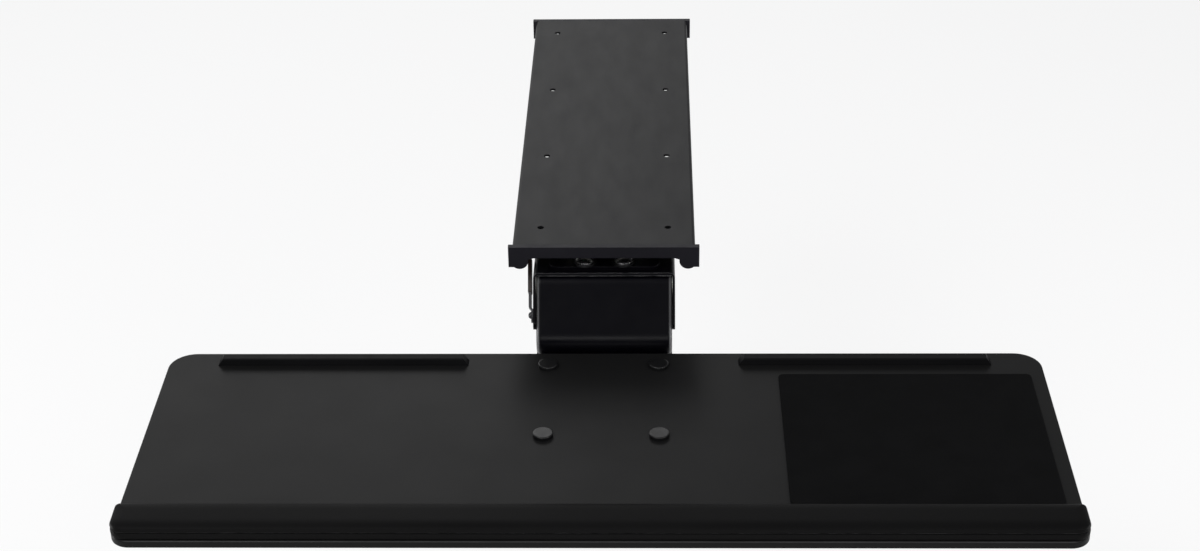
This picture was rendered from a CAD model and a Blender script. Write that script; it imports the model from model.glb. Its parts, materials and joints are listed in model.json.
"""Looks for the keyboard tray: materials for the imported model, a foam palm rest, a cloth mouse pad,
a studio and the camera. Everything is in metres, in the row's own frame."""

import json
import math

import bmesh
import bpy
from mathutils import Matrix, Vector


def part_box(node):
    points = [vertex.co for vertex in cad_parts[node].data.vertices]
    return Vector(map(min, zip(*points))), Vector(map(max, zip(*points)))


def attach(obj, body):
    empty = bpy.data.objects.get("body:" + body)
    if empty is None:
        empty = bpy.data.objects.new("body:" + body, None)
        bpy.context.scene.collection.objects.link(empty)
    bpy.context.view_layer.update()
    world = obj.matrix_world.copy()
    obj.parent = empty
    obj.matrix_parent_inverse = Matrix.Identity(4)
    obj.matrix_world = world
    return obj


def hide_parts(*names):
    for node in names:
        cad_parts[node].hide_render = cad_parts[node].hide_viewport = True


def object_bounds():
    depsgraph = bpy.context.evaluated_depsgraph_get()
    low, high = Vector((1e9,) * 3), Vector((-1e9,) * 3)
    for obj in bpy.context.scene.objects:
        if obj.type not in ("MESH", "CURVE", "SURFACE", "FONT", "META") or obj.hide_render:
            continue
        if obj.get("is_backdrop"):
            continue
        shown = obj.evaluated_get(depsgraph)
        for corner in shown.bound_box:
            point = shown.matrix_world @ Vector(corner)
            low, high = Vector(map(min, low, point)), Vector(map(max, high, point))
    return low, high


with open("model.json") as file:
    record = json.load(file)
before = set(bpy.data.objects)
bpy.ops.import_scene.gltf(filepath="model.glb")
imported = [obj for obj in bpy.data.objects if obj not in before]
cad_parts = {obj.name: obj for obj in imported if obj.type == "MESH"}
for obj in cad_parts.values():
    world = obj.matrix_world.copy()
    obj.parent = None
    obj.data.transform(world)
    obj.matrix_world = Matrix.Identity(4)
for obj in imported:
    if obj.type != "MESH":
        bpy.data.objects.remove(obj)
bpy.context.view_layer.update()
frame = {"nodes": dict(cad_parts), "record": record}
scene = bpy.context.scene
MM = 0.001
NOISE_LOW = 0.3
NOISE_HIGH = 0.7
BEVEL_SAMPLES = 6


# Node helpers
class Nodes:
    """A material's node tree, with short calls to add and join nodes."""

    def __init__(self, name):
        self.material = bpy.data.materials.new(name)
        self.material.use_nodes = True
        self.tree = self.material.node_tree
        self.tree.nodes.clear()
        self.out = self.tree.nodes.new("ShaderNodeOutputMaterial")
        self.shader = self.add("ShaderNodeBsdfPrincipled")
        self.join(self.shader.outputs[0], self.out.inputs["Surface"])
        self.place = self.add("ShaderNodeTexCoord").outputs["Object"]

    def add(self, kind, **values):
        node = self.tree.nodes.new(kind)
        for key, value in values.items():
            setattr(node, key, value)
        return node

    def join(self, out, into):
        self.tree.links.new(out, into)

    def fill(self, socket, value):
        if isinstance(value, bpy.types.NodeSocket):
            self.join(value, socket)
        else:
            socket.default_value = value

    def noise(self, size_mm, detail=3.0, stretch=(1, 1, 1), rough=0.55):
        """Noise whose blotches are about size_mm across."""
        mapping = self.add("ShaderNodeMapping")
        mapping.inputs["Scale"].default_value = stretch
        self.join(self.place, mapping.inputs["Vector"])
        node = self.add("ShaderNodeTexNoise")
        node.inputs["Scale"].default_value = 1000 / size_mm
        node.inputs["Detail"].default_value = detail
        node.inputs["Roughness"].default_value = rough
        self.join(mapping.outputs[0], node.inputs["Vector"])
        return node.outputs["Fac"]

    def cells(self, size_mm, feature="F1"):
        """Voronoi cells about size_mm across."""
        node = self.add("ShaderNodeTexVoronoi", feature=feature)
        node.inputs["Scale"].default_value = 1000 / size_mm
        self.join(self.place, node.inputs["Vector"])
        return node.outputs["Distance"]

    def maths(self, kind, a, b=0.0, clamp=False):
        node = self.add("ShaderNodeMath", operation=kind, use_clamp=clamp)
        self.fill(node.inputs[0], a)
        self.fill(node.inputs[1], b)
        return node.outputs[0]

    def spread(self, value, low, high, from_low=0.0, from_high=1.0):
        """A value mapped to low..high."""
        node = self.add("ShaderNodeMapRange")
        node.inputs["From Min"].default_value = from_low
        node.inputs["From Max"].default_value = from_high
        node.inputs["To Min"].default_value = low
        node.inputs["To Max"].default_value = high
        self.join(value, node.inputs["Value"])
        return node.outputs[0]

    def swing(self, noise, low=0.0, high=1.0):
        """Noise, most of which lies between NOISE_LOW and NOISE_HIGH, mapped to low..high."""
        return self.spread(noise, low, high, NOISE_LOW, NOISE_HIGH)

    def axis(self, vector, letter):
        """One coordinate of a vector."""
        node = self.add("ShaderNodeSeparateXYZ")
        self.join(vector, node.inputs[0])
        return node.outputs[letter]

    def weighed(self, a, weight_a, b, weight_b):
        """The sum of two values, each times its weight."""
        return self.maths("ADD", self.maths("MULTIPLY", a, weight_a), self.maths("MULTIPLY", b, weight_b))

    def bevelled(self, size_mm):
        """The normal of the surface as if its edges were rounded by size_mm."""
        node = self.add("ShaderNodeBevel", samples=BEVEL_SAMPLES)
        node.inputs["Radius"].default_value = size_mm * MM
        return node.outputs[0]

    def mix(self, share, a, b):
        """Colour a mixed towards colour b."""
        node = self.add("ShaderNodeMix", data_type="RGBA")
        self.fill(node.inputs["Factor"], share)
        for socket, value in ((node.inputs[6], a), (node.inputs[7], b)):
            self.fill(socket, value if isinstance(value, bpy.types.NodeSocket) else (*value, 1))
        return node.outputs[2]

    def rounded_edges(self, size_mm):
        """1 on sharp outer edges and 0 elsewhere, broken up by noise."""
        turned = self.add("ShaderNodeVectorMath", operation="DOT_PRODUCT")
        self.join(self.bevelled(size_mm), turned.inputs[0])
        self.join(self.add("ShaderNodeNewGeometry").outputs["Normal"], turned.inputs[1])
        edge = self.spread(turned.outputs["Value"], 1.0, 0.0, 0.8, 0.99)
        patches = self.spread(self.noise(5, 4), 0.25, 1.0, 0.35, 0.65)
        return self.maths("MULTIPLY", edge, patches, clamp=True)

    def bump(self, height, depth_mm, strength, rounding_mm=0.0):
        """Bump of depth_mm, over edges rounded by rounding_mm."""
        node = self.add("ShaderNodeBump")
        node.inputs["Strength"].default_value = strength
        node.inputs["Distance"].default_value = depth_mm * MM
        self.join(height, node.inputs["Height"])
        if rounding_mm:
            self.join(self.bevelled(rounding_mm), node.inputs["Normal"])
        self.join(node.outputs[0], self.shader.inputs["Normal"])

    def set(self, **values):
        """Values or outputs for the shader's sockets."""
        names = {
            "colour": "Base Color",
            "rough": "Roughness",
            "metal": "Metallic",
            "specular": "Specular IOR Level",
            "sheen": "Sheen Weight",
            "sheen_rough": "Sheen Roughness",
            "sheen_tint": "Sheen Tint",
            "subsurface": "Subsurface Weight",
        }
        for key, value in values.items():
            socket = self.shader.inputs[names[key]]
            if key in ("colour", "sheen_tint") and not isinstance(value, bpy.types.NodeSocket):
                value = (*value, 1)
            self.fill(socket, value)


def shade(colour, factor):
    """A colour made lighter or darker."""
    return tuple(min(1.0, c * factor) for c in colour)


def painted_steel(name, colour, rough, worn=0.3, specular=0.1, rubbed=(0.06, 0.06, 0.064),
                  bends=None, crest=None):
    """Baked paint on sheet steel: orange peel, cloudy gloss and thin rubbed edges.

    bends is a colour for the side bends. crest is the place, as Y and Z, of the one front edge that
    is rubbed in full. Edges behind it or below it are rubbed faintly."""
    n = Nodes(name)
    edge_mm = 0.45
    faint = 0.08
    base = n.mix(n.swing(n.noise(55, 3)), shade(colour, 0.9), shade(colour, 1.12))
    wear = n.maths("MULTIPLY", n.rounded_edges(edge_mm), worn)
    if crest:
        front, top = crest
        near = n.spread(n.axis(n.place, "Y"), 1.0, faint, front + 1.5 * MM, front + 4 * MM)
        high_up = n.spread(n.axis(n.place, "Z"), faint, 1.0, top - 10 * MM, top - 6 * MM)
        wear = n.maths("MULTIPLY", n.maths("MULTIPLY", wear, near), high_up)
    base = n.mix(wear, base, rubbed)
    if bends:
        facing = n.axis(n.add("ShaderNodeTexCoord").outputs["Normal"], "X")
        side = n.maths("ABSOLUTE", facing)
        leaves_face = n.spread(side, 0.0, 1.0, 0.25, 0.6)
        before_side = n.spread(side, 1.0, 0.0, 0.8, 0.97)
        base = n.mix(n.maths("MULTIPLY", leaves_face, before_side), base, bends)
    smear = n.noise(16, 5, stretch=(1, 0.35, 1))
    gloss = n.spread(smear, rough - 0.03, rough + 0.04, NOISE_LOW, 0.72)
    n.set(colour=base, rough=gloss, specular=specular)
    peel, fleck = n.noise(1.8, 2), n.noise(0.7, 2)
    n.bump(n.weighed(peel, 0.8, fleck, 0.2), 0.05, 0.45, rounding_mm=edge_mm)
    return n.material


def moulded_plastic(name, colour, rough, grain=0.45, depth=0.05, specular=0.15):
    """Moulded plastic with a fine spark-eroded grain, flow marks and polished corners."""
    n = Nodes(name)
    flow = n.noise(38, 3, stretch=(0.4, 1, 1))
    base = n.mix(n.swing(flow), shade(colour, 0.9), shade(colour, 1.12))
    base = n.mix(n.maths("MULTIPLY", n.rounded_edges(0.4), 0.3), base, shade(colour, 5.0))
    gloss = n.swing(n.noise(9, 4), rough - 0.04, rough + 0.05)
    n.set(colour=base, rough=gloss, specular=specular)
    height = n.weighed(n.cells(grain), 0.6, n.noise(grain * 1.6, 3), 0.4)
    n.bump(height, depth, 0.6, rounding_mm=0.3)
    return n.material


def plated_steel(name, colour, rough):
    """Bright or brushed steel with fine drawn lines and slight tarnish."""
    n = Nodes(name)
    lines = n.noise(1.4, 4, stretch=(0.06, 1, 1))
    tarnish = n.noise(7, 4)
    base = n.mix(n.spread(tarnish, 0.0, 1.0, 0.35, 0.75), colour, shade(colour, 0.62))
    n.set(colour=base, rough=n.swing(lines, rough - 0.07, rough + 0.1), metal=1.0, specular=0.5)
    n.bump(lines, 0.02, 0.5, rounding_mm=0.25)
    return n.material


def natural_nylon(name):
    """Milky nylon, waxy and faintly mottled."""
    n = Nodes(name)
    base = n.mix(n.swing(n.noise(12, 4)), (0.62, 0.60, 0.54), (0.76, 0.74, 0.68))
    n.set(colour=base, rough=n.swing(n.noise(3, 3), 0.38, 0.52), specular=0.4, subsurface=0.08)
    n.bump(n.noise(0.6, 3), 0.03, 0.5, rounding_mm=0.25)
    return n.material


def board_face(name, colour, front_y):
    """Semi-gloss phenolic board: a pressed pebble, soft clouds, hair scratches and a pale front arris."""
    n = Nodes(name)
    cloud = n.noise(120, 3)
    base = n.mix(n.spread(cloud, 0.0, 1.0, 0.32, 0.68), shade(colour, 0.93), shade(colour, 1.08))
    near = n.spread(n.axis(n.place, "Y"), 1.0, 0.0, front_y + 0.4 * MM, front_y + 0.85 * MM)
    upwards = n.axis(n.add("ShaderNodeNewGeometry").outputs["Normal"], "Z")
    arris = n.maths("MULTIPLY", near, n.spread(upwards, 0.0, 1.0, 0.35, 0.65))
    arris = n.maths("MULTIPLY", arris, n.swing(n.noise(30, 2), 0.6, 1.0))
    base = n.mix(arris, base, (0.036, 0.036, 0.0372))
    scratch = n.noise(2.2, 2, stretch=(0.02, 1, 1))
    smear = n.noise(42, 5)
    gloss = n.maths("ADD", n.swing(smear, 0.34, 0.38), n.spread(scratch, 0.0, 0.03, 0.62, 0.75))
    n.set(colour=base, rough=gloss, specular=0.06)
    pebble = n.cells(0.8, "SMOOTH_F1")
    n.bump(n.weighed(pebble, 0.7, n.noise(0.5, 2), 0.3), 0.03, 0.5, rounding_mm=0.3)
    return n.material


def knit_cloth(name, colour):
    """Fine jersey cloth: crossed ribs of yarn, with lint and a soft nap."""
    n = Nodes(name)
    turns = 2 * math.pi / (0.75 * MM)
    wale = n.maths("SINE", n.maths("MULTIPLY", n.axis(n.place, "X"), turns))
    course = n.maths("SINE", n.maths("MULTIPLY", n.axis(n.place, "Y"), turns))
    weave = n.maths("MULTIPLY", wale, course)
    lint = n.noise(1.6, 5)
    nap = n.noise(26, 4)
    base = n.mix(n.swing(nap), shade(colour, 0.75), shade(colour, 1.3))
    base = n.mix(n.spread(weave, 0.0, 0.5, -1.0, 1.0), base, shade(colour, 0.55))
    base = n.mix(n.spread(lint, 0.0, 0.5, 0.66, 0.8), base, shade(colour, 3.2))
    n.set(colour=base, rough=n.spread(nap, 0.88, 0.98), specular=0.04)
    n.set(sheen=0.012, sheen_rough=0.6, sheen_tint=(0.5, 0.5, 0.52))
    height = n.maths("ADD", n.spread(weave, 0.0, 0.8, -1.0, 1.0), n.maths("MULTIPLY", lint, 0.5))
    n.bump(height, 0.09, 0.7)
    return n.material


def foam_skin(name, colour, lip_z):
    """Self-skinned foam: fine leathery grain, pores, and a rubbed lip at the height of the crease."""
    n = Nodes(name)
    grain = n.cells(0.9)
    crack = n.noise(1.2, 6, rough=0.65)
    cloud = n.noise(48, 4, stretch=(0.35, 1, 1))
    base = n.mix(n.spread(cloud, 0.0, 1.0, NOISE_LOW, 0.72), shade(colour, 0.88), shade(colour, 1.15))
    base = n.mix(n.spread(grain, 0.3, 0.0, 0.0, 0.5), base, shade(colour, 0.5))
    off = n.maths("ABSOLUTE", n.maths("SUBTRACT", n.axis(n.place, "Z"), lip_z))
    line = n.spread(off, 1.0, 0.0, 0.15 * MM, 0.4 * MM)
    broken = n.spread(n.noise(7, 4), 0.15, 1.0, 0.38, 0.62)
    base = n.mix(n.maths("MULTIPLY", line, broken), base, (0.06, 0.06, 0.062))
    gloss = n.spread(cloud, 0.46, 0.56, NOISE_LOW, 0.72)
    n.set(colour=base, rough=gloss, specular=0.035)
    n.bump(n.weighed(grain, 0.75, crack, 0.5), 0.07, 0.6)
    return n.material


def dipped_vinyl(name, colour):
    """Dip-coated vinyl: glossy, a little runny and uneven."""
    n = Nodes(name)
    run = n.noise(7, 3, stretch=(1, 1, 0.3))
    base = n.mix(n.swing(run), shade(colour, 0.75), shade(colour, 1.3))
    n.set(colour=base, rough=n.swing(n.noise(4, 3), 0.24, 0.38), specular=0.3)
    n.bump(run, 0.15, 0.5, rounding_mm=0.4)
    return n.material


def soft_foam(name, colour):
    """Open rubber foam at the pad's edge: small dark pores."""
    n = Nodes(name)
    pores = n.cells(0.5)
    base = n.mix(n.spread(pores, 0.0, 1.0, 0.1, 0.5), shade(colour, 0.45), shade(colour, 1.3))
    n.set(colour=base, rough=0.9, specular=0.08)
    n.bump(pores, 0.12, 0.8)
    return n.material


board_front_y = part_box("tray_board")[0].y
pivot_y = sum(corner.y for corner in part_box("arm_pivot_pin")) / 2
pivot_behind_crest = 7 * MM
bracket_crest = (pivot_y - pivot_behind_crest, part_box("swivel_bracket")[1].z)
lip_height = 6.1 * MM
rest_lip_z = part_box("palm_rest")[0].z + lip_height
finish = {
    "track_steel": painted_steel("track_steel", (0.0085, 0.0085, 0.0092), 0.42),
    "cap_plastic": moulded_plastic("cap_plastic", (0.0078, 0.0074, 0.0102), 0.5),
    "carriage_steel": painted_steel(
        "carriage_steel", (0.004, 0.004, 0.0045), 0.42, rubbed=(0.02, 0.02, 0.021)
    ),
    "nylon": natural_nylon("nylon"),
    "bolt_steel": plated_steel("bolt_steel", (0.34, 0.34, 0.355), 0.38),
    "bracket_steel": painted_steel(
        "bracket_steel", (0.0010, 0.0009, 0.0018), 0.32, worn=0.9, specular=0.07,
        rubbed=(0.42, 0.42, 0.43), crest=bracket_crest,
    ),
    "arm_steel": painted_steel(
        "arm_steel", (0.0012, 0.0011, 0.0023), 0.31, worn=0.4, specular=0.08, bends=(0.13, 0.13, 0.134)
    ),
    "spring_steel": plated_steel("spring_steel", (0.20, 0.19, 0.185), 0.36),
    "lever_steel": plated_steel("lever_steel", (0.055, 0.055, 0.058), 0.45),
    "grip_vinyl": dipped_vinyl("grip_vinyl", (0.016, 0.0085, 0.0065)),
    "knob_plastic": moulded_plastic("knob_plastic", (0.0085, 0.0085, 0.0095), 0.42),
    "plate_steel": painted_steel("plate_steel", (0.008, 0.008, 0.009), 0.42),
    "board_laminate": board_face("board_laminate", (0.0076, 0.0076, 0.0077), board_front_y),
    "pad_fabric": knit_cloth("pad_fabric", (0.0034, 0.0034, 0.0036)),
    "rest_skin": foam_skin("rest_skin", (0.0042, 0.0041, 0.0042), rest_lip_z),
    "stop_plastic": moulded_plastic(
        "stop_plastic", (0.0056, 0.0056, 0.0060), 0.45, grain=0.35, depth=0.03, specular=0.04
    ),
    "cap_cover": moulded_plastic(
        "cap_cover", (0.0045, 0.0045, 0.0048), 0.3, grain=0.35, depth=0.02, specular=0.25
    ),
}
dark_bolt = plated_steel("blackened_bolt", (0.05, 0.05, 0.053), 0.40)
domed_bolt = plated_steel("domed_bolt", (0.34, 0.34, 0.345), 0.26)
pad_foam = soft_foam("pad_foam", (0.009, 0.009, 0.0095))

slot_of = {row["node"]: row["material_slot"] for row in frame["record"]["subparts"]}
for node, obj in frame["nodes"].items():
    obj.data.materials.clear()
    obj.data.materials.append(finish[slot_of[node]])
for node in ("hub_washers", "tray_bolts", "lock_bolt"):
    frame["nodes"][node].data.materials[0] = dark_bolt
frame["nodes"]["hub_bolts"].data.materials[0] = domed_bolt


# Mesh helpers
def build(name, body, points, faces, materials):
    """A new piece from points and faces that rides on a body."""
    mesh = bpy.data.meshes.new(name)
    mesh.from_pydata([tuple(p) for p in points], [], faces)
    mesh.update()
    for material in materials:
        mesh.materials.append(material)
    mesh.polygons.foreach_set("use_smooth", [True] * len(mesh.polygons))
    obj = bpy.data.objects.new(name, mesh)
    scene.collection.objects.link(obj)
    work = bmesh.new()
    work.from_mesh(mesh)
    bmesh.ops.recalc_face_normals(work, faces=work.faces)
    work.to_mesh(mesh)
    work.free()
    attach(obj, body)
    return obj


def rounded_ring(low, high, radii, inset, per_corner=14, per_side=60):
    """Points round a rectangle with rounded corners, moved inwards by inset.

    radii are the corner radii in the order front right, rear right, rear left, front left."""
    least_radius = 0.4 * MM
    widest_share = 0.999
    x0, y0, x1, y1 = low[0] + inset, low[1] + inset, high[0] - inset, high[1] - inset
    corners = ((x1, y0, -90), (x1, y1, 0), (x0, y1, 90), (x0, y0, 180))
    ring = []
    for (x, y, start), radius in zip(corners, radii):
        r = max(radius - inset, least_radius)
        r = min(r, (y1 - y0) / 2 * widest_share, (x1 - x0) / 2 * widest_share)
        centre = (x - r if x == x1 else x + r, y + r if y == y0 else y - r)
        for i in range(per_corner + 1):
            a = math.radians(start + 90 * i / per_corner)
            ring.append((centre[0] + r * math.cos(a), centre[1] + r * math.sin(a)))
    full = []
    for i, p in enumerate(ring):
        q = ring[(i + 1) % len(ring)]
        full.append(p)
        if (i + 1) % (per_corner + 1) == 0:
            count = per_side if abs(q[0] - p[0]) > abs(q[1] - p[1]) else max(4, per_side // 8)
            for k in range(1, count):
                t = k / count
                full.append((p[0] + (q[0] - p[0]) * t, p[1] + (q[1] - p[1]) * t))
    return full


def lofted(rings):
    """Faces between rings of equal length, closed at both ends."""
    n = len(rings[0])
    faces = []
    for k in range(len(rings) - 1):
        for i in range(n):
            j = (i + 1) % n
            faces.append((k * n + i, k * n + j, (k + 1) * n + j, (k + 1) * n + i))
    faces.append(tuple(range(n))[::-1])
    last = (len(rings) - 1) * n
    faces.append(tuple(last + i for i in range(n)))
    return [p for ring in rings for p in ring], faces


# Palm rest: a moulded foam bar with a crease round it and a crowned top
low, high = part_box("palm_rest")
rest_rings = []
crown = high.z - low.z
rest_radii = (11 * MM, 4 * MM, 4 * MM, 11 * MM)
wall_height = 8.0
front_share = 0.93
rear_gain = 0.12
crown_start = 0.45
crown_run = 9.0
below_box_top = 0.0002
# The side wall from the foot up, as inset and height in mm, with the crease between 5 and 7
wall = (
    (0.9, 0.0),
    (0.35, 0.5),
    (0.08, 1.4),
    (0.0, 2.6),
    (0.05, 3.8),
    (0.28, 4.8),
    (0.75, 5.4),
    (1.3, 5.75),
    (1.6, 6.05),
    (1.45, 6.25),
    (0.95, 6.35),
    (0.45, 6.5),
    (0.18, 6.8),
    (0.1, 7.2),
    (0.2, 7.65),
    (0.45, 8.0),
)
for inset, height in wall:
    ring = rounded_ring((low.x, low.y), (high.x, high.y), rest_radii, inset * MM)
    share = height / wall_height
    rows = []
    for x, y in ring:
        rear = (y - low.y) / (high.y - low.y)
        rows.append((x, y, low.z + height * MM * (front_share + rear_gain * rear * share)))
    rest_rings.append(rows)
# The crowned top, ring by ring inwards in mm
for inset in (0.7, 1.05, 1.6, 2.4, 3.4, 4.5, 6.0, 8.0, 10.0, 12.0, 14.0, 15.0):
    ring = rounded_ring((low.x, low.y), (high.x, high.y), rest_radii, inset * MM)
    rows = []
    reach = min(1.0, (inset - crown_start) / crown_run)
    rise = math.sqrt(max(0.0, 1 - (1 - reach) ** 2))
    for x, y in ring:
        rear = (y - low.y) / (high.y - low.y)
        base = wall_height * MM * (front_share + rear_gain * rear)
        rows.append((x, y, low.z + base + (crown - below_box_top - base) * rise))
    rest_rings.append(rows)
points, faces = lofted(rest_rings)
palm_rest = build("palm_rest_skin", "tray", points, faces, [finish["rest_skin"]])
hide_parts("palm_rest")

# Mouse pad: jersey cloth bonded to a thin sheet of rubber foam
low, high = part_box("mouse_pad")
pad_rings = []
thick = high.z - low.z
pad_radius = 4 * MM
foam_share = 0.6
# Rings from the foot over the edge to the middle, as inset in mm and share of the thickness
for inset, share in (
    (0.25, 0.0),
    (0.05, 0.08),
    (0.0, 0.3),
    (0.0, 0.55),
    (0.04, 0.62),
    (0.06, 0.66),
    (0.05, 0.72),
    (0.12, 0.86),
    (0.35, 0.96),
    (0.8, 1.0),
    (1.8, 1.0),
    (6.0, 0.985),
    (30.0, 0.98),
    (70.0, 0.98),
):
    ring = rounded_ring((low.x, low.y), (high.x, high.y), (pad_radius,) * 4, inset * MM, 8, 40)
    pad_rings.append([(x, y, low.z + thick * share) for x, y in ring])
points, faces = lofted(pad_rings)
mouse_pad = build("mouse_pad_cloth", "tray", points, faces, [finish["pad_fabric"], pad_foam])
for polygon in mouse_pad.data.polygons:
    if polygon.center.z < low.z + thick * foam_share:
        polygon.material_index = 1
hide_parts("mouse_pad")


# Studio: a pale floor that fades into a white backdrop, and soft lamps
def combine(tree, operation, a, b):
    """The output of a math node that joins two outputs."""
    node = tree.nodes.new("ShaderNodeMath")
    node.operation = operation
    tree.links.new(a, node.inputs[0])
    tree.links.new(b, node.inputs[1])
    return node.outputs[0]


def background_rays(tree):
    """Two outputs: the camera's rays, and those with the rays off metal and through glass."""
    path = tree.nodes.new("ShaderNodeLightPath")
    camera_rays = path.outputs["Is Camera Ray"]
    total = camera_rays
    for kind in ("Is Glossy Ray", "Is Transmission Ray"):
        total = combine(tree, "MAXIMUM", total, path.outputs[kind])
    return camera_rays, total


floor_z = -0.42
floor_half = 14
fade_start, fade_end = 0.9, 2.4
least_white = 0.75
mesh = bpy.data.meshes.new("floor")
corners = [(x * floor_half, y * floor_half, floor_z) for x, y in ((-1, -1), (1, -1), (1, 1), (-1, 1))]
mesh.from_pydata(corners, [], [(0, 1, 2, 3)])
floor = bpy.data.objects.new("floor", mesh)
scene.collection.objects.link(floor)
paint = Nodes("floor_paint")
pale = paint.mix(paint.noise(900, 2), (0.93, 0.93, 0.93), (0.96, 0.96, 0.96))
paint.set(colour=pale, rough=0.9, specular=0.05)
reach = paint.add("ShaderNodeVectorMath", operation="LENGTH")
paint.join(paint.place, reach.inputs[0])
faded = paint.spread(reach.outputs["Value"], 0.0, 1.0, fade_start, fade_end)
sees = background_rays(paint.tree)[1]
white = paint.add("ShaderNodeEmission")
white.inputs["Strength"].default_value = 1.0
lift = paint.maths("MULTIPLY", sees, paint.maths("MAXIMUM", faded, least_white))
blend = paint.add("ShaderNodeMixShader")
paint.join(lift, blend.inputs[0])
paint.join(paint.shader.outputs[0], blend.inputs[1])
paint.join(white.outputs[0], blend.inputs[2])
paint.join(blend.outputs[0], paint.out.inputs["Surface"])
mesh.materials.append(paint.material)
floor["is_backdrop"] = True

world = bpy.data.worlds.new("studio")
world.use_nodes = True
tree = world.node_tree
tree.nodes.clear()
out = tree.nodes.new("ShaderNodeOutputWorld")
light = tree.nodes.new("ShaderNodeBackground")
light.inputs["Color"].default_value = (0.97, 0.98, 1.0, 1)
light.inputs["Strength"].default_value = 0.42
shown = tree.nodes.new("ShaderNodeBackground")
shown.inputs["Color"].default_value = (1, 1, 1, 1)
shown.inputs["Strength"].default_value = 1.0
camera_rays, sees = background_rays(tree)
# Shining things see the white backdrop only in this direction, and the dimmer room elsewhere
towards = tree.nodes.new("ShaderNodeVectorMath")
towards.operation = "DOT_PRODUCT"
towards.inputs[1].default_value = Vector((-0.5, 0.85, 0.2)).normalized()
tree.links.new(tree.nodes.new("ShaderNodeTexCoord").outputs["Generated"], towards.inputs[0])
backdrop = tree.nodes.new("ShaderNodeMapRange")
backdrop.inputs["From Min"].default_value = 0.6
backdrop.inputs["From Max"].default_value = 0.93
tree.links.new(towards.outputs["Value"], backdrop.inputs["Value"])
share = combine(tree, "MULTIPLY", sees, combine(tree, "MAXIMUM", camera_rays, backdrop.outputs[0]))
blend = tree.nodes.new("ShaderNodeMixShader")
tree.links.new(share, blend.inputs[0])
tree.links.new(light.outputs[0], blend.inputs[1])
tree.links.new(shown.outputs[0], blend.inputs[2])
tree.links.new(blend.outputs[0], out.inputs["Surface"])
scene.world = world


def lamp(name, place, target, size, watts):
    """A rectangular soft lamp at place that faces target."""
    data = bpy.data.lights.new(name, "AREA")
    data.shape = "RECTANGLE"
    data.size, data.size_y = size
    data.energy = watts
    obj = bpy.data.objects.new(name, data)
    obj.location = place
    obj.rotation_mode = "QUATERNION"
    obj.rotation_quaternion = (Vector(target) - Vector(place)).to_track_quat("-Z", "Y")
    obj.visible_camera = False
    scene.collection.objects.link(obj)


board_middle = (0, -0.3, -0.1)
arm_middle = (0, -0.25, -0.1)
lamp("key", (-0.9, -1.3, 1.5), board_middle, (1.1, 0.9), 20)
lamp("fill", (1.3, -1.2, 1.0), board_middle, (1.0, 0.8), 9)
lamp("back", (-0.7, 1.6, 1.2), (0, -0.2, -0.1), (1.8, 0.9), 8)
lamp("left_rim", (-1.7, -0.1, -0.26), arm_middle, (0.6, 0.24), 11)
lamp("right_rim", (1.7, -0.1, -0.26), arm_middle, (0.6, 0.24), 9)
lamp("front_low", (0, -2.3, 0.2), arm_middle, (1.3, 0.4), 9)

# Camera: place, pitch, yaw and roll solved from points of the photograph
camera_place = Vector((0.0353053, -1.7035742, 0.8267301))
pitch, yaw, roll = (math.radians(a) for a in (29.8916, -1.4838, -0.8395))
focal_px, picture_width_px, sensor_mm = 2193.664, 1200, 36
forward = Vector((math.sin(yaw) * math.cos(pitch), math.cos(yaw) * math.cos(pitch), -math.sin(pitch)))
level = Vector((math.cos(yaw), -math.sin(yaw), 0))
above = level.cross(forward)
right = level * math.cos(roll) + above * math.sin(roll)
up = above * math.cos(roll) - level * math.sin(roll)
camera_data = bpy.data.cameras.new("camera")
camera_data.sensor_width = sensor_mm
camera_data.lens = focal_px / picture_width_px * sensor_mm
camera_data.clip_start = 0.05
camera_data.clip_end = 60
camera = bpy.data.objects.new("camera", camera_data)
matrix = Matrix((right, up, -forward)).transposed().to_4x4()
matrix.translation = camera_place
camera.matrix_world = matrix
scene.collection.objects.link(camera)
scene.camera = camera
scene.view_settings.view_transform = "Standard"

bpy.context.view_layer.update()
low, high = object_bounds()
